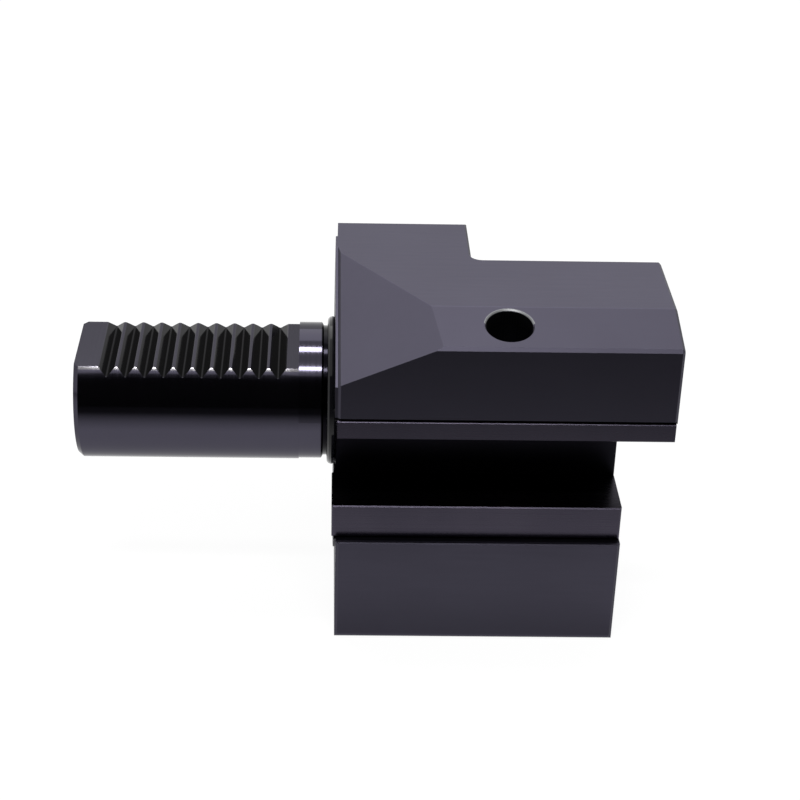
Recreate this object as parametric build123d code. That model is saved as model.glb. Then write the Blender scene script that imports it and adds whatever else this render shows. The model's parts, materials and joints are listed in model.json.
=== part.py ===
from build123d import *
import os
from math import cos, radians, sin, sqrt, tan

# Straight-shank turret tool holder with an open square slot along its axis.
# Millimetres. The origin lies on the shank axis, in the face of the flange.
# +X points from the flange to the nose, +Z to the toothed side of the shank,
# and -Y to the open side of the tool slot.

# Round shank
shank_r = 15.0
shank_length = 55.0
shank_tip_length = 1.0
shank_tip_fall = 0.8
flat_height = 10.7
tooth_pitch = 4.0
tooth_depth = 1.7
groove_count = 10
first_groove = 12.0
tooth_crest_r = 0.5
tooth_root_r = 0.3
collar_length = 7.6
collar_r = 14.8
centre_hole_r = 2.5
centre_hole_depth = 9.0

# Seal ring in the neck of the shank
neck_r = 14.1
neck_width = 2.8
ring_section_r = 1.0
ring_section_sides = 12
ring_recess_r = 16.6
ring_recess_depth = 0.4

# Flange face and block behind it
face_r = 34.0
face_height = 0.5
flange_length = 29.2
front = -28.0
back = 38.0
top = 28.0
bottom = -45.7
back_slope = 11.0
edge_break = 0.6
back_break = 0.5

# Nose beyond the flange block
nose_length = 70.0
lower_length = 60.7
nose_back = 8.1
inner_corner_r = 2.5

# Sloped band along the top front edge, and the slanted corner at the flange
slope_start = -15.0
slope_foot = 24.9
corner_top_y = 12.2
corner_foot_z = 15.7
corner_length = 21.5

# Tool slot with its loose plates
slot_back = -12.0
slot_roof = 7.75
slot_floor = -21.4
slot_roof_break = 0.8
slot_floor_break = 0.2
plate_thickness = 4.15
plate_front = -27.7
plate_length = 69.8
gib_top = -13.65
gib_front = -25.8
gib_stand = 0.15
gib_overhang = 0.4
gib_length = lower_length + gib_overhang
gib_travel = 2.0
slide_gap = 0.05
plate_break = 0.2
gib_end_r = 0.5

# Screw that holds the fixed plate, from above
plate_screw_x = 35.1
plate_screw_y = -20.8
plate_screw_r = 2.5
head_recess_r = 4.8
head_recess_break = 0.3
head_seat = 15.0
head_height = 5.0
head_r = 4.25
socket_width = 4.0

# Clamping screws from below
clamp_screw_shares = (0.18, 0.5, 0.82)
clamp_screw_y = -19.0
clamp_screw_r = 5.0
clamp_screw_length = 22.0
clamp_socket_width = 5.0

# Retaining screws of the loose gib, between the clamping screws
retainer_shares = (0.34, 0.66)
retainer_r = 2.0
retainer_head_r = 3.5
retainer_head_height = 4.0
retainer_shoulder = -38.5
retainer_reach = 5.0
retainer_play = 0.4
retainer_socket_width = 3.0
bore_gap = 0.25
thread_gap = 0.05

# Coolant way through the web to a swivel nozzle at its end
coolant_inlet_y = 20.0
coolant_outlet_y = -2.0
coolant_z = -12.0
coolant_r = 2.5
coolant_turn_x = 16.0
ball_r = 4.0
ball_sink = 4.1
ring_throat = 2.2
ball_tail = 2.6
ball_seat_angle = 45.0
ball_lip_angle = 20.0
nozzle_hole_r = 1.25
nozzle_ring_r = 5.5
plug_r = 4.0
plug_length = 7.0
plug_sink = 1.0
inlet_ring_r = 4.6
inlet_ring_section_r = 0.9
inlet_ring_stand = 0.4


def rod(radius, x0, x1, y=0.0, z=0.0):
    """Round bar along X between two stations."""
    return Pos(x0, y, z) * extrude(Plane.YZ * Circle(radius), x1 - x0)


def post(radius, z0, z1, x=0.0, y=0.0):
    """Round bar along Z between two heights."""
    return Pos(x, y, z0) * extrude(Plane.XY * Circle(radius), z1 - z0)


def prism_x(points, x0, x1):
    """Outline of Y and Z values drawn out along X."""
    return Pos(x0, 0, 0) * extrude(Plane.YZ * make_face(Polyline(*points, close=True)), x1 - x0)


def prism_z(points, z0, z1):
    """Outline of X and Y values drawn up along Z."""
    return Pos(0, 0, z0) * extrude(Plane.XY * make_face(Polyline(*points, close=True)), z1 - z0)


def hex_socket(width, depth, z):
    """Six-sided key hole that goes up from a height."""
    return Pos(0, 0, z) * extrude(RegularPolygon(width / 2, 6, major_radius=False), depth)


# Flange block: outline seen along the shank, with both back corners cut off
block_outline = (
    (front, bottom),
    (back - back_slope, bottom),
    (back, bottom + back_slope),
    (back, top - back_slope),
    (back - back_slope, top),
    (slope_start, top),
    (front, slope_foot),
)
flange_block = prism_x(block_outline, face_height, flange_length)

# Nose: the same front, but only as deep as the web behind the slot
nose_outline = (
    (front, bottom),
    (nose_back, bottom),
    (nose_back, top),
    (slope_start, top),
    (front, slope_foot),
)
nose = prism_x(nose_outline, flange_length - edge_break, nose_length)
block = flange_block + nose
step_corner = block.edges().filter_by(Axis.Z).filter_by_position(
    Axis.Y, nose_back - 0.01, nose_back + 0.01).filter_by_position(
    Axis.X, flange_length - 0.01, flange_length + 0.01)
block = fillet(step_corner, inner_corner_r)

# Slanted corner through three points: top edge, foot on the face, end on the front
top_point = Vector(0, corner_top_y, top)
foot_point = Vector(0, front, corner_foot_z)
end_point = Vector(corner_length, front, slope_foot)
corner_normal = (end_point - foot_point).cross(top_point - foot_point).normalized()
corner_plane = Plane(origin=foot_point, x_dir=end_point - foot_point, z_dir=corner_normal)
corner_waste = corner_plane * Box(3 * nose_length, 3 * nose_length, nose_length,
                                  align=(Align.CENTER, Align.CENTER, Align.MIN))
block -= corner_waste

# Shank: turned profile with a bevelled end and a neck for the seal ring
shank_outline = (
    (-shank_length, 0),
    (-shank_length, shank_r - shank_tip_fall),
    (-shank_length + shank_tip_length, shank_r),
    (-collar_length, shank_r),
    (-collar_length, collar_r),
    (-neck_width, collar_r),
    (-neck_width + 0.4, neck_r),
    (ring_recess_depth, neck_r),
    (ring_recess_depth, 0),
)
shank = revolve(Plane.XZ * make_face(Polyline(*shank_outline, close=True)), Axis.X)
shank -= rod(centre_hole_r, -shank_length - 1, -shank_length + centre_hole_depth)
countersink = Pos(-shank_length, 0, 0) * Rot(0, 90, 0) * Cone(
    1.5 * centre_hole_r, 0.01, 2.6 * centre_hole_r, align=(Align.CENTER, Align.CENTER, Align.MIN))
shank -= countersink

# Flat with its row of rack teeth, up to the full round collar at the flange
flat_waste = Pos(-collar_length, 0, flat_height) * Box(
    2 * shank_length, 4 * shank_r, shank_r, align=(Align.MAX, Align.CENTER, Align.MIN))
shank -= flat_waste
root_z = -tooth_depth - (sqrt(2) - 1) * tooth_root_r
crest_z = root_z + tooth_pitch / 2
last_groove = first_groove + (groove_count - 1) * tooth_pitch
rack_points = [(-first_groove + 1 - root_z, 1)]
for n in range(groove_count):
    rack_points.append((-first_groove - n * tooth_pitch, root_z))
    rack_points.append((-first_groove - (n + 0.5) * tooth_pitch, crest_z))
rack_points[-1] = (-last_groove - 1 + root_z, 1)
rack_face = make_face(Polyline(*rack_points, close=True))
root_corners = rack_face.vertices().filter_by_position(Axis.Y, root_z - 0.01, root_z + 0.01)
rack_face = fillet(root_corners, tooth_root_r)
crest_corners = rack_face.vertices().filter_by_position(Axis.Y, crest_z - 0.01, crest_z + 0.01)
rack_face = fillet(crest_corners, tooth_crest_r)
shank -= Pos(0, 0, flat_height) * extrude(Plane.XZ * rack_face, 2 * shank_r, both=True)

# Broken edges on the front and round the nose
front_edges = block.edges().filter_by_position(Axis.Y, front - 0.01, front + 0.01)
upright_edge = front_edges.filter_by(Axis.Z).sort_by(Axis.X)[:1]
slant_middle = (face_height, (corner_top_y + front) / 2, (top + corner_foot_z) / 2)
slant_edge = block.edges().sort_by_distance(slant_middle)[:1]
block = chamfer(front_edges.filter_by(Axis.X) + upright_edge + slant_edge, edge_break)
block = chamfer(block.faces().sort_by(Axis.X)[-1].edges(), edge_break)
top_back = block.edges().filter_by(Axis.X).filter_by_position(Axis.Z, top - 0.01, top + 0.01)
block = chamfer(top_back.filter_by_position(Axis.Y, nose_back - 0.01, back), back_break)

# Raised round face, kept inside the broken edges of the block
block += extrude(block.faces().sort_by(Axis.X)[0], face_height) & rod(face_r, 0, face_height)
block -= rod(ring_recess_r, -1, ring_recess_depth)
holder_body = block + shank

# Tool slot with a flared mouth, open at both ends
slot = (
    (front - 1, slot_floor - slot_floor_break - 1),
    (front + slot_floor_break, slot_floor),
    (slot_back, slot_floor),
    (slot_back, slot_roof),
    (front + slot_roof_break, slot_roof),
    (front - 1, slot_roof + slot_roof_break + 1),
)
holder_body -= prism_x(slot, 0, nose_length + 1)

# Shorter lower jaw and web, with a broken edge in front
beyond_jaw = (
    (lower_length - edge_break - 1, front - 1),
    (lower_length, front + edge_break),
    (lower_length, nose_back + 1),
    (2 * nose_length, nose_back + 1),
    (2 * nose_length, front - 1),
)
holder_body -= prism_z(beyond_jaw, bottom - 1, slot_roof)

# Screw holes of the slot
clamp_screw_xs = [share * lower_length for share in clamp_screw_shares]
retainer_xs = [share * lower_length for share in retainer_shares]
holder_body -= post(plate_screw_r + bore_gap, slot_roof - 1, top, plate_screw_x, plate_screw_y)
holder_body -= post(head_recess_r, head_seat, top + 1, plate_screw_x, plate_screw_y)
head_rim = holder_body.edges().filter_by(GeomType.ELLIPSE).sort_by(Axis.Z)[-1]
holder_body = chamfer(head_rim, head_recess_break)
for x in clamp_screw_xs:
    holder_body -= post(clamp_screw_r + thread_gap, bottom - 1, slot_floor + 1, x, clamp_screw_y)
    holder_body -= Pos(x, clamp_screw_y, bottom) * Cone(
        clamp_screw_r + 1, clamp_screw_r, 1, align=(Align.CENTER, Align.CENTER, Align.MIN))
for x in retainer_xs:
    holder_body -= post(retainer_r + bore_gap, bottom - 1, slot_floor + 1, x, clamp_screw_y)
    holder_body -= post(retainer_head_r + bore_gap, bottom - 1, retainer_shoulder, x, clamp_screw_y)

# Coolant way: in at the flange face, across behind the slot, out at the end of the web
inlet = (coolant_inlet_y, coolant_z)
outlet = (coolant_outlet_y, coolant_z)
holder_body -= rod(coolant_r, -1, coolant_turn_x, *inlet)
inlet_seat_depth = 2 * inlet_ring_section_r - inlet_ring_stand
holder_body -= rod(inlet_ring_r + inlet_ring_section_r, -1, inlet_seat_depth, *inlet)
cross_hole = Plane(origin=(coolant_turn_x, back, coolant_z), x_dir=(1, 0, 0), z_dir=(0, 1, 0))
cross_depth = back - coolant_outlet_y
holder_body -= cross_hole * extrude(Circle(coolant_r), -cross_depth)
holder_body -= cross_hole * extrude(Circle(plug_r), -plug_sink - plug_length)
holder_body -= rod(coolant_r, coolant_turn_x, lower_length + 1, *outlet)
ball_centre_x = lower_length - ball_sink
ball_free_r = ball_r + slide_gap
lip_wide_r = ball_free_r / cos(radians(ball_lip_angle))
lip_narrow_r = lip_wide_r - tan(radians(ball_lip_angle)) * ring_throat
seat_tip_x = ball_centre_x - ball_free_r / sin(radians(ball_seat_angle))
seat_wide_x = seat_tip_x + lip_wide_r / tan(radians(ball_seat_angle))
seat_outline = (
    (seat_tip_x, 0),
    (seat_wide_x, lip_wide_r),
    (ball_centre_x, lip_wide_r),
    (ball_centre_x, nozzle_ring_r),
    (lower_length + 1, nozzle_ring_r),
    (lower_length + 1, 0),
)
holder_body -= Pos(0, *outlet) * revolve(Plane.XZ * make_face(Polyline(*seat_outline, close=True)), Axis.X)

# Seal rings, in the neck against the flange, and round the coolant inlet
ring_section = RegularPolygon(ring_section_r, ring_section_sides)
ring_section = Plane.XZ * Pos(ring_recess_depth - ring_section_r, neck_r + ring_section_r) * ring_section
seal_ring = revolve(ring_section, Axis.X)
inlet_section = RegularPolygon(inlet_ring_section_r, ring_section_sides)
inlet_section = Plane.XZ * Pos(inlet_ring_section_r - inlet_ring_stand, inlet_ring_r) * inlet_section
inlet_ring = Pos(0, *inlet) * revolve(inlet_section, Axis.X)

# Fixed plate under the upper jaw
plate_outline = (
    (plate_front, slot_roof - plate_thickness),
    (slot_back, slot_roof - plate_thickness),
    (slot_back, slot_roof),
    (plate_front, slot_roof),
)
support_plate = prism_x(plate_outline, face_height, plate_length)
front_edges = support_plate.edges().filter_by(Axis.X).sort_by(Axis.Y)[:2]
support_plate = chamfer(front_edges, plate_break)
support_plate -= post(plate_screw_r, -plate_thickness, slot_roof + 1, plate_screw_x, plate_screw_y)

# Loose gib above the clamping screws
gib_bottom = slot_floor + gib_stand
gib_outline = (
    (gib_front, gib_bottom),
    (slot_back - slide_gap, gib_bottom),
    (slot_back - slide_gap, gib_top),
    (gib_front, gib_top),
)
clamp_gib = prism_x(gib_outline, -gib_overhang, gib_length - gib_overhang)
clamp_gib = chamfer(clamp_gib.edges().filter_by(Axis.X).sort_by(Axis.Y)[:2], plate_break)
clamp_gib = fillet(clamp_gib.edges().filter_by(Axis.Z), gib_end_r)
for x in retainer_xs:
    clamp_gib -= post(retainer_r, gib_bottom - 1, gib_bottom + retainer_reach, x, clamp_screw_y)

# Cap screw of the plate: round head with a key hole, and a plain shank
cap_screw = post(head_r, head_seat, head_seat + head_height)
cap_screw = chamfer(cap_screw.edges().filter_by(GeomType.CIRCLE).sort_by(Axis.Z)[-1], edge_break)
cap_screw += post(plate_screw_r, slot_roof - plate_thickness + 0.5, head_seat)
cap_screw -= hex_socket(socket_width, head_height, head_seat + 0.5 * head_height)
plate_screw = Pos(plate_screw_x, plate_screw_y, 0) * cap_screw

# Clamping screws: headless, with a blunt tip under the gib and a key hole below
set_screw = post(clamp_screw_r, gib_bottom - clamp_screw_length, gib_bottom - slide_gap)
set_screw = chamfer(set_screw.edges().filter_by(GeomType.CIRCLE), 2 * edge_break)
set_screw -= hex_socket(clamp_socket_width, 6, gib_bottom - clamp_screw_length - 1)

# Retaining screws: threaded into the gib, with play above the head for its travel
head_top = retainer_shoulder - gib_travel - retainer_play
retainer = post(retainer_head_r, head_top - retainer_head_height, head_top)
retainer += post(retainer_r, head_top, gib_bottom + retainer_reach)
retainer -= hex_socket(retainer_socket_width, 3, head_top - retainer_head_height - 1)

# Swivel nozzle, its retaining ring, and the plug of the cross hole
nozzle_ball = Sphere(ball_r) & Pos(-ball_tail, 0, 0) * Box(
    2 * ball_r, 2 * ball_r, 2 * ball_r, align=(Align.MIN, Align.CENTER, Align.CENTER))
nozzle_ball = Pos(ball_centre_x, *outlet) * (nozzle_ball - rod(nozzle_hole_r, -ball_r - 1, ball_r + 1))
ring_outline = (
    (ball_centre_x, lip_wide_r),
    (ball_centre_x + ring_throat, lip_narrow_r),
    (lower_length, lip_wide_r),
    (lower_length, nozzle_ring_r),
    (ball_centre_x, nozzle_ring_r),
)
nozzle_ring = Pos(0, *outlet) * revolve(Plane.XZ * make_face(Polyline(*ring_outline, close=True)), Axis.X)
bore_plug = cross_hole * Pos(0, 0, -plug_sink) * extrude(Circle(plug_r), -plug_length)
bore_plug -= cross_hole * Pos(0, 0, -plug_sink) * extrude(
    RegularPolygon(socket_width / 2, 6, major_radius=False), -plug_length / 2)

pieces = {
    "holder_body": holder_body,
    "shank_seal": seal_ring,
    "inlet_seal": inlet_ring,
    "support_plate": support_plate,
    "plate_screw": plate_screw,
    "clamp_gib": clamp_gib,
    "nozzle_ball": nozzle_ball,
    "nozzle_ring": nozzle_ring,
    "bore_plug": bore_plug,
}
for n, x in enumerate(clamp_screw_xs, start=1):
    pieces[f"clamp_screw_{n}"] = Pos(x, clamp_screw_y, 0) * set_screw
for n, x in enumerate(retainer_xs, start=1):
    pieces[f"gib_screw_{n}"] = Pos(x, clamp_screw_y, 0) * retainer

os.makedirs("parts", exist_ok=True)
for node, piece in pieces.items():
    export_step(piece, f"parts/{node}.step")
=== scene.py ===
import json
import math

import bpy
from mathutils import Matrix, Vector


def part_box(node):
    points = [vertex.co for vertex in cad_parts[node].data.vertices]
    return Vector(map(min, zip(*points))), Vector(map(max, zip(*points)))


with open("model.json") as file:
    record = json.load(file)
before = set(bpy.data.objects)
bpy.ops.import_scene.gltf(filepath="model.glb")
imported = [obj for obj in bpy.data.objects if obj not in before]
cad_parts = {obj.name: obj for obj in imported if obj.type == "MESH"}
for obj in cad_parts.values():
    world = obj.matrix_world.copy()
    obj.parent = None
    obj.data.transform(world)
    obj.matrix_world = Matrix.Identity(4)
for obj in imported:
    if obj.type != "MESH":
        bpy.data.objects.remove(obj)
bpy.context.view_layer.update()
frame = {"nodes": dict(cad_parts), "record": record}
nodes = frame["nodes"]
MM = 0.001

# Camera at the photograph's angle, fitted to the shank, its teeth and the block

PHOTO_SIDE = 800
FOCAL_PIXELS = 1914.3
IMAGE_CENTRE = (361.4, 399.5)
CAMERA_YAW = -0.025
CAMERA_DROP = 0.503
CAMERA_ROLL = 0.023
CAMERA_AIM = (5.956 * MM, 0.0, -2.305 * MM)
CAMERA_DISTANCE = 418.6 * MM
SENSOR_MM = 36.0

# World and floor: light on the holder, and the white that the camera and reflections see

WORLD_FILL = 0.5
WORLD_WHITE = 1.0
FLOOR_GLOW = 0.93
FLOOR_COLOUR = (0.95, 0.95, 0.95)
FLOOR_ROUGHNESS = 0.9
FLOOR_SIDE = 40.0

# Black cards: where each is clear and where it is darkest along Y, and how far they reach

CARD_COLOUR = (0.002, 0.002, 0.002)
CARD_LIFT = MM
CARD_CLEAR = -55 * MM
CARD_FULL = -230 * MM
CARD_BACK = -800 * MM
CARD_TOP = 1000 * MM
CARD_HALF_WIDTH = 1400 * MM
# The foot card is a painted shadow, seen only in reflections, where the block shades the floor at its
# foot
FOOT_DARK = -28 * MM
FOOT_CLEAR = -46 * MM
FOOT_SHADE = 0.33
FOOT_START = -MM
FOOT_END = 62 * MM

# Places on the pieces whose colour is painted darker or lighter, nearly all of it painted shade and
# painted highlights: from and to along X, Y and Z, or from an axis, in mm

# Painted shade in the grooves between the teeth
TOOTH_FLANKS_PAINTED_SHADE = {"X": (-50.3, -10.1), "Z": (8.5, 10.5), "shank": (0.0, 14.87)}
# Painted light: the block's top face lighter than its other faces
TOP_FACE_PAINTED_LIGHT = {"Z": (27.97, 29.0)}
# Painted shade on the upper jaw's lower front break, above the plate
ROOF_BREAK_PAINTED_SHADE = {"Y": (-28.0, -27.15), "Z": (7.8, 8.5)}
# Painted shade inside the slot
SLOT_INSIDE_PAINTED_SHADE = {"X": (-1.0, 60.6), "Y": (-27.0, -11.9), "Z": (-21.5, 7.7)}
# Painted highlight on the far half of the screw recess's rim
RECESS_RIM_PAINTED_HIGHLIGHT = {"recess": (4.83, 5.2), "Y": (-20.2, -15.0), "Z": (20.0, 28.0)}
# Painted shade inside the screw recess
RECESS_INSIDE_PAINTED_SHADE = {"recess": (0.0, 4.83), "Z": (14.0, 28.0)}
SHANK_ROUND = {"X": (-54.0, -3.0), "shank": (14.7, 15.2)}
# Painted highlight on the tips of the teeth
TOOTH_TIPS_PAINTED_HIGHLIGHT = {"X": (-54.0, -7.6), "Z": (10.2, 10.69), "shank": (14.87, 15.2)}
# Painted shade on the upper half of the collar
COLLAR_PAINTED_SHADE = {"X": (-7.6, -2.8), "Z": (0.0, 15.0), "shank": (14.7, 14.9)}
# Painted shade at the end of the flat, next to the collar
FLAT_END_PAINTED_SHADE = {"X": (-10.1, -7.6), "Z": (10.6, 10.9)}
# Painted shade on the neck between the collar and the flange
NECK_SIDE_PAINTED_SHADE = {"X": (-2.9, 0.0), "shank": (14.0, 14.75)}
# Painted shade on the slot floor's front break, below the gib
FLOOR_BREAK_PAINTED_SHADE = {"Y": (-28.6, -27.7), "Z": (-21.62, -21.38)}
# Painted light: the lower jaw's front face a little lighter
LOWER_FRONT_PAINTED_LIGHT = {"Y": (-28.6, -27.9), "Z": (-46.0, -21.6)}
# Painted shade on the plate's top front break, under the upper jaw
PLATE_EDGE_PAINTED_SHADE = {"Y": (-27.8, -27.5), "Z": (7.55, 7.8)}
# Painted shade on the gib's top, inside the slot
GIB_TOP_PAINTED_SHADE = {"Y": (-25.5, -11.0), "Z": (-13.75, -13.0)}
# Painted shade on the gib's top front break
GIB_EDGE_PAINTED_SHADE = {"Y": (-25.9, -25.6), "Z": (-13.83, -13.5)}

# Half the width over which a place fades out, in mm

PLACE_EDGE = 0.06


def grey(value):
    return value, value, value


# What the base colour is multiplied by in each place: below 1 is painted shade and above 1 is painted
# light, except the round shank's own lighter tone

BODY_PAINTED_LIGHT_AND_TONE = (
    (TOOTH_FLANKS_PAINTED_SHADE, grey(0.1)),
    (TOP_FACE_PAINTED_LIGHT, (1.4, 1.4, 1.42)),
    (ROOF_BREAK_PAINTED_SHADE, grey(0.05)),
    (SLOT_INSIDE_PAINTED_SHADE, grey(0.3)),
    (RECESS_RIM_PAINTED_HIGHLIGHT, (3.6, 3.9, 2.9)),
    (RECESS_INSIDE_PAINTED_SHADE, grey(0.1)),
    (SHANK_ROUND, grey(1.25)),
    (TOOTH_TIPS_PAINTED_HIGHLIGHT, (2.0, 2.05, 1.6)),
    (COLLAR_PAINTED_SHADE, grey(0.7)),
    (FLAT_END_PAINTED_SHADE, grey(0.8)),
    (NECK_SIDE_PAINTED_SHADE, grey(0.1)),
    (FLOOR_BREAK_PAINTED_SHADE, grey(0.25)),
    (LOWER_FRONT_PAINTED_LIGHT, grey(1.12)),
)
PLATE_PAINTED_SHADE = (
    (GIB_TOP_PAINTED_SHADE, grey(0.3)),
    (GIB_EDGE_PAINTED_SHADE, grey(0.28)),
    (PLATE_EDGE_PAINTED_SHADE, grey(0.22)),
)

# Grain of the finishes: larger numbers make finer grain

EVEN = (1.0, 1.0, 1.0)
STEEL_CLOUDS = 60.0
RUBBER_CLOUDS = 400.0
NOZZLE_CLOUDS = 300.0
TURNED_RINGS = (4000.0, 20.0, 20.0)

# Values between which most of the noise stays

NOISE_LOW = 0.3
NOISE_HIGH = 0.7

# Where the finish goes over from the turned shank to the milled block, along X

BLOCK_START = (-0.4 * MM, -0.2 * MM)

# How much of the cutter's lines shows, how bright steel gets at a low angle, and the rubber's shine

LINE_STRENGTH = 0.06
LINE_DEPTH = 0.02 * MM
EDGE_SHEEN = 0.75
RUBBER_SHINE = 0.25


# Values on a piece

def object_place(tree):
    """A point's place on its piece, in metres."""
    return tree.nodes.new("ShaderNodeTexCoord").outputs["Object"]


def axis_values(tree, place):
    """The X, Y and Z of a place."""
    split = tree.nodes.new("ShaderNodeSeparateXYZ")
    tree.links.new(place, split.inputs[0])
    return split.outputs


def from_axis(tree, place, across, centre):
    """Distance in metres from a line along X or Z, through a centre given in mm."""
    shift = tree.nodes.new("ShaderNodeVectorMath")
    shift.operation = "SUBTRACT"
    shift.inputs[1].default_value = [value * MM for value in centre]
    flat = tree.nodes.new("ShaderNodeVectorMath")
    flat.operation = "MULTIPLY"
    flat.inputs[1].default_value = across
    reach = tree.nodes.new("ShaderNodeVectorMath")
    reach.operation = "LENGTH"
    tree.links.new(place, shift.inputs[0])
    tree.links.new(shift.outputs[0], flat.inputs[0])
    tree.links.new(flat.outputs[0], reach.inputs[0])
    return reach.outputs["Value"]


def screw_centre(name):
    """Where an upright screw's axis lies, in mm."""
    low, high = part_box(name)
    return (low[0] + high[0]) / 2 / MM, (low[1] + high[1]) / 2 / MM, 0.0


AXES = {
    "shank": {"across": (0.0, 1.0, 1.0), "centre": (0.0, 0.0, 0.0)},
    "recess": {"across": (1.0, 1.0, 0.0), "centre": screw_centre("plate_screw")},
}


def between(tree, value, start, end, low, high):
    """Goes from one value to another while the first runs from start to end."""
    ramp = tree.nodes.new("ShaderNodeMapRange")
    ramp.inputs["From Min"].default_value = start
    ramp.inputs["From Max"].default_value = end
    ramp.inputs["To Min"].default_value = low
    ramp.inputs["To Max"].default_value = high
    tree.links.new(value, ramp.inputs["Value"])
    return ramp.outputs["Result"]


def product(tree, first, second):
    node = tree.nodes.new("ShaderNodeMath")
    node.operation = "MULTIPLY"
    tree.links.new(first, node.inputs[0])
    tree.links.new(second, node.inputs[1])
    return node.outputs[0]


def blend(tree, factor, first, second):
    mix = tree.nodes.new("ShaderNodeMix")
    tree.links.new(factor, mix.inputs["Factor"])
    tree.links.new(first, mix.inputs["A"])
    tree.links.new(second, mix.inputs["B"])
    return mix.outputs["Result"]


def inside_place(tree, windows):
    """1 inside all the windows of a place and 0 outside them."""
    place = object_place(tree)
    values = axis_values(tree, place)
    inside = None
    for name, (low, high) in windows.items():
        value = from_axis(tree, place, **AXES[name]) if name in AXES else values[name]
        for edge, start, end in ((low, 0.0, 1.0), (high, 1.0, 0.0)):
            step = between(tree, value, (edge - PLACE_EDGE) * MM, (edge + PLACE_EDGE) * MM, start, end)
            inside = product(tree, inside, step) if inside else step
    return inside


# Finishes

def new_material(name):
    material = bpy.data.materials.new(name)
    material.use_nodes = True
    tree = material.node_tree
    return material, tree, tree.nodes["Principled BSDF"]


def noise(tree, stretch, scale, detail=3.0, roughness=0.5):
    """Noise on object coordinates, finer along the axes with a larger stretch."""
    mapping = tree.nodes.new("ShaderNodeMapping")
    mapping.inputs["Scale"].default_value = stretch
    tree.links.new(object_place(tree), mapping.inputs["Vector"])
    texture = tree.nodes.new("ShaderNodeTexNoise")
    texture.inputs["Scale"].default_value = scale
    texture.inputs["Detail"].default_value = detail
    texture.inputs["Roughness"].default_value = roughness
    tree.links.new(mapping.outputs["Vector"], texture.inputs["Vector"])
    return texture.outputs["Fac"]


def span(tree, value, low, high):
    """Noise spread over the values from low to high."""
    return between(tree, value, NOISE_LOW, NOISE_HIGH, low, high)


def tint(tree, value, dark, light):
    mix = tree.nodes.new("ShaderNodeMix")
    mix.data_type = "RGBA"
    mix.inputs["A"].default_value = (*dark, 1.0)
    mix.inputs["B"].default_value = (*light, 1.0)
    tree.links.new(value, mix.inputs["Factor"])
    return mix.outputs["Result"]


def shaded(tree, windows, colour, shade):
    """Colour times another in one place, used mostly to paint shade and light there."""
    mix = tree.nodes.new("ShaderNodeMix")
    mix.data_type = "RGBA"
    mix.blend_type = "MULTIPLY"
    mix.inputs["B"].default_value = (*shade, 1.0)
    tree.links.new(inside_place(tree, windows), mix.inputs["Factor"])
    tree.links.new(colour, mix.inputs["A"])
    return mix.outputs["Result"]


def bump(tree, shader, height, strength, distance):
    node = tree.nodes.new("ShaderNodeBump")
    node.inputs["Strength"].default_value = strength
    node.inputs["Distance"].default_value = distance
    tree.links.new(height, node.inputs["Height"])
    tree.links.new(node.outputs["Normal"], shader.inputs["Normal"])


def blackened(name, dark, light, gloss, lines, painted_places=(), turned_gloss=None):
    """Blackened steel with the cutter's faint lines, and with turned rings on the shank where asked;
    its colour is multiplied in the places given, mostly as painted shade and painted highlights.
    """
    material, tree, shader = new_material(name)
    clouds = noise(tree, EVEN, STEEL_CLOUDS, detail=4.0)
    height = noise(tree, lines, 1.0, roughness=0.7)
    roughness = span(tree, height, *gloss)
    if turned_gloss:
        rings = noise(tree, TURNED_RINGS, 1.0, detail=2.0, roughness=0.6)
        on_block = between(tree, axis_values(tree, object_place(tree))["X"], *BLOCK_START, 0.0, 1.0)
        roughness = blend(tree, on_block, span(tree, rings, *turned_gloss), roughness)
        height = blend(tree, on_block, rings, height)
    colour = tint(tree, clouds, dark, light)
    for windows, shade in painted_places:
        colour = shaded(tree, windows, colour, shade)
    tree.links.new(colour, shader.inputs["Base Color"])
    tree.links.new(roughness, shader.inputs["Roughness"])
    shader.inputs["Metallic"].default_value = 1.0
    shader.inputs["Specular Tint"].default_value = (*grey(EDGE_SHEEN), 1.0)
    bump(tree, shader, height, LINE_STRENGTH, LINE_DEPTH)
    return material


def clouded(name, grain, dark, light, gloss):
    """Material whose colour and gloss vary a little in soft clouds."""
    material, tree, shader = new_material(name)
    clouds = noise(tree, EVEN, grain)
    tree.links.new(tint(tree, clouds, dark, light), shader.inputs["Base Color"])
    tree.links.new(span(tree, clouds, *gloss), shader.inputs["Roughness"])
    return material, shader


def bright_steel():
    dark, light = (0.42, 0.42, 0.44), (0.55, 0.55, 0.57)
    material, shader = clouded("bright_turned_steel", NOZZLE_CLOUDS, dark, light, gloss=(0.2, 0.34))
    shader.inputs["Metallic"].default_value = 1.0
    return material


def seal_rubber():
    dark, light = (0.002, 0.002, 0.003), (0.004, 0.004, 0.005)
    material, shader = clouded("seal_rubber", RUBBER_CLOUDS, dark, light, gloss=(0.06, 0.1))
    shader.inputs["Specular IOR Level"].default_value = RUBBER_SHINE
    return material


FINISHES = {
    "blackened_steel": blackened(
        "blackened_steel",
        dark=(0.045, 0.042, 0.058),
        light=(0.051, 0.048, 0.066),
        gloss=(0.38, 0.44),
        lines=(60.0, 900.0, 1500.0),
        painted_places=BODY_PAINTED_LIGHT_AND_TONE,
        turned_gloss=(0.1, 0.14),
    ),
    "ground_plate": blackened(
        "ground_plate",
        dark=(0.044, 0.040, 0.057),
        light=(0.065, 0.058, 0.079),
        gloss=(0.24, 0.30),
        lines=(40.0, 1500.0, 2500.0),
        painted_places=PLATE_PAINTED_SHADE,
    ),
    "screw_steel": blackened(
        "screw_steel",
        dark=(0.045, 0.044, 0.050),
        light=(0.060, 0.058, 0.065),
        gloss=(0.3, 0.42),
        lines=(600.0, 600.0, 600.0),
    ),
    "nozzle_steel": bright_steel(),
    "seal_rubber": seal_rubber(),
}

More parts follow.
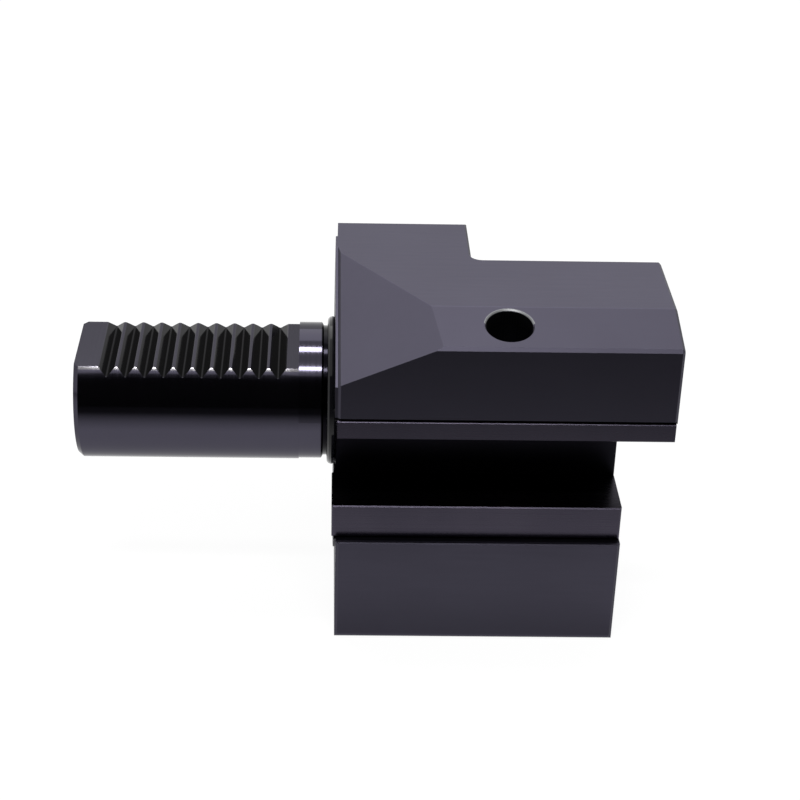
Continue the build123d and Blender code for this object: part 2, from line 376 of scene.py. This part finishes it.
for part in frame["record"]["subparts"]:
    cad_node = nodes[part["node"]]
    cad_node.data.materials.clear()
    cad_node.data.materials.append(FINISHES[part["material_slot"]])


# Studio: world, floor, black cards, lamps and camera

def rest_height():
    """Height of the face on which the holder stands."""
    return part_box("holder_body")[0][2]


def seen_directly(tree):
    """1 for the camera's own rays and for those in reflections and glass."""
    path = tree.nodes.new("ShaderNodeLightPath")
    value = path.outputs["Is Camera Ray"]
    for other in ("Is Glossy Ray", "Is Transmission Ray"):
        join = tree.nodes.new("ShaderNodeMath")
        join.operation = "MAXIMUM"
        tree.links.new(value, join.inputs[0])
        tree.links.new(path.outputs[other], join.inputs[1])
        value = join.outputs[0]
    return value


def mix_shaders(tree, factor, first, second, surface):
    """Joins two shaders by a factor and sends them to the surface."""
    mix = tree.nodes.new("ShaderNodeMixShader")
    tree.links.new(factor, mix.inputs["Fac"])
    tree.links.new(first, mix.inputs[1])
    tree.links.new(second, mix.inputs[2])
    tree.links.new(mix.outputs[0], surface)


def build_world():
    world = bpy.data.worlds.new("studio")
    bpy.context.scene.world = world
    world.use_nodes = True
    tree = world.node_tree
    tree.nodes.clear()
    skies = []
    for strength in (WORLD_FILL, WORLD_WHITE):
        sky = tree.nodes.new("ShaderNodeBackground")
        sky.inputs["Color"].default_value = (1.0, 1.0, 1.0, 1.0)
        sky.inputs["Strength"].default_value = strength
        skies.append(sky.outputs[0])
    out = tree.nodes.new("ShaderNodeOutputWorld")
    mix_shaders(tree, seen_directly(tree), *skies, out.inputs["Surface"])


def build_floor():
    """White floor that shows white to the camera and in reflections, with a soft shadow."""
    bpy.ops.object.select_all(action="DESELECT")
    bpy.ops.mesh.primitive_plane_add(size=FLOOR_SIDE, location=(0.0, 0.0, rest_height()))
    floor = bpy.context.object
    floor.name = "floor"
    material, tree, shader = new_material("white_floor")
    shader.inputs["Base Color"].default_value = (*FLOOR_COLOUR, 1.0)
    shader.inputs["Roughness"].default_value = FLOOR_ROUGHNESS
    glow = tree.nodes.new("ShaderNodeEmission")
    share = tree.nodes.new("ShaderNodeMath")
    share.operation = "MULTIPLY"
    share.inputs[1].default_value = FLOOR_GLOW
    tree.links.new(seen_directly(tree), share.inputs[0])
    surface = tree.nodes["Material Output"].inputs["Surface"]
    mix_shaders(tree, share.outputs[0], shader.outputs[0], glow.outputs[0], surface)
    floor.data.materials.append(material)


def card_black(name, clear, full, most):
    """Black that fades in along Y, from clear to its full place."""
    material, tree, shader = new_material(name)
    shader.inputs["Base Color"].default_value = (*CARD_COLOUR, 1.0)
    shader.inputs["Roughness"].default_value = 1.0
    clearness = between(tree, axis_values(tree, object_place(tree))["Y"], full, clear, 0.0, 1.0)
    shade = between(tree, product(tree, clearness, clearness), 0.0, 1.0, most, 0.0)
    bare = tree.nodes.new("ShaderNodeBsdfTransparent")
    surface = tree.nodes["Material Output"].inputs["Surface"]
    mix_shaders(tree, shade, bare.outputs[0], shader.outputs[0], surface)
    return material


def add_card(name, low, high, material):
    """Card between two opposite corners, level or upright, which only shows in reflections."""
    bpy.ops.object.select_all(action="DESELECT")
    upright = high[2] > low[2]
    bpy.ops.mesh.primitive_plane_add(
        size=1.0,
        location=[(start + end) / 2 for start, end in zip(low, high)],
        rotation=(math.pi / 2 if upright else 0.0, 0.0, 0.0),
    )
    card = bpy.context.object
    card.name = name
    card.scale = (high[0] - low[0], high[2] - low[2] if upright else high[1] - low[1], 1.0)
    bpy.ops.object.transform_apply(location=True, rotation=True, scale=True)
    card.data.materials.append(material)
    card.visible_camera = False
    card.visible_diffuse = False
    card.visible_shadow = False


def build_cards():
    """Black cards on the camera's side, and a painted shadow card at the foot of the block."""
    far_black = card_black("far_card_black", CARD_CLEAR, CARD_FULL, 1.0)
    foot_shadow_black = card_black("foot_painted_shadow_black", FOOT_CLEAR, FOOT_DARK, FOOT_SHADE)
    level = rest_height() + CARD_LIFT
    foot_left = (-CARD_HALF_WIDTH, CARD_BACK, level)
    add_card("floor_card", foot_left, (CARD_HALF_WIDTH, CARD_CLEAR, level), far_black)
    add_card("front_card", foot_left, (CARD_HALF_WIDTH, CARD_BACK, CARD_TOP), far_black)
    # Painted shadow: a dark card on the floor at the block's foot, seen only in reflections
    add_card("foot_shadow_card", (FOOT_START, FOOT_CLEAR, level), (FOOT_END, FOOT_DARK, level), foot_shadow_black)


def add_lamp(name, angle, place, distance, width, height, power):
    """Soft light that faces the shank's axis, at an angle in degrees from the far horizon."""
    light = bpy.data.lights.new(name, "AREA")
    light.shape = "RECTANGLE"
    light.size = width
    light.size_y = height
    light.energy = power
    lamp = bpy.data.objects.new(name, light)
    bpy.context.scene.collection.objects.link(lamp)
    lean = math.radians(angle)
    lamp.location = (place, distance * math.cos(lean), distance * math.sin(lean))
    lamp.rotation_euler = (lean - math.pi / 2, 0.0, 0.0)
    lamp.visible_camera = False


def build_camera():
    data = bpy.data.cameras.new("photo_camera")
    data.sensor_width = SENSOR_MM
    data.lens = FOCAL_PIXELS / PHOTO_SIDE * SENSOR_MM
    data.shift_x = (PHOTO_SIDE / 2 - IMAGE_CENTRE[0]) / PHOTO_SIDE
    data.shift_y = (IMAGE_CENTRE[1] - PHOTO_SIDE / 2) / PHOTO_SIDE
    camera = bpy.data.objects.new("photo_camera", data)
    bpy.context.scene.collection.objects.link(camera)
    right = Vector((math.cos(CAMERA_YAW), math.sin(CAMERA_YAW), 0.0))
    level = Vector((-math.sin(CAMERA_YAW), math.cos(CAMERA_YAW), 0.0))
    upwards = Vector((0.0, 0.0, 1.0))
    ahead = level * math.cos(CAMERA_DROP) - upwards * math.sin(CAMERA_DROP)
    above = level * math.sin(CAMERA_DROP) + upwards * math.cos(CAMERA_DROP)
    side = right * math.cos(CAMERA_ROLL) + above * math.sin(CAMERA_ROLL)
    over = above * math.cos(CAMERA_ROLL) - right * math.sin(CAMERA_ROLL)
    turn = Matrix((side, over, -ahead)).transposed().to_4x4()
    camera.matrix_world = Matrix.Translation(Vector(CAMERA_AIM) - ahead * CAMERA_DISTANCE) @ turn
    bpy.context.scene.camera = camera


build_world()
build_floor()
build_cards()
add_lamp("back_box", angle=46.0, place=0.0, distance=0.9, width=2.2, height=0.5, power=5.2)
add_lamp("front_strip", angle=116.5, place=-0.03, distance=0.8, width=0.44, height=0.07, power=5.0)
add_lamp("top_strip", angle=80.5, place=-0.075, distance=0.8, width=0.2, height=0.12, power=3.0)
build_camera()

bpy.context.scene.view_settings.view_transform = "Standard"
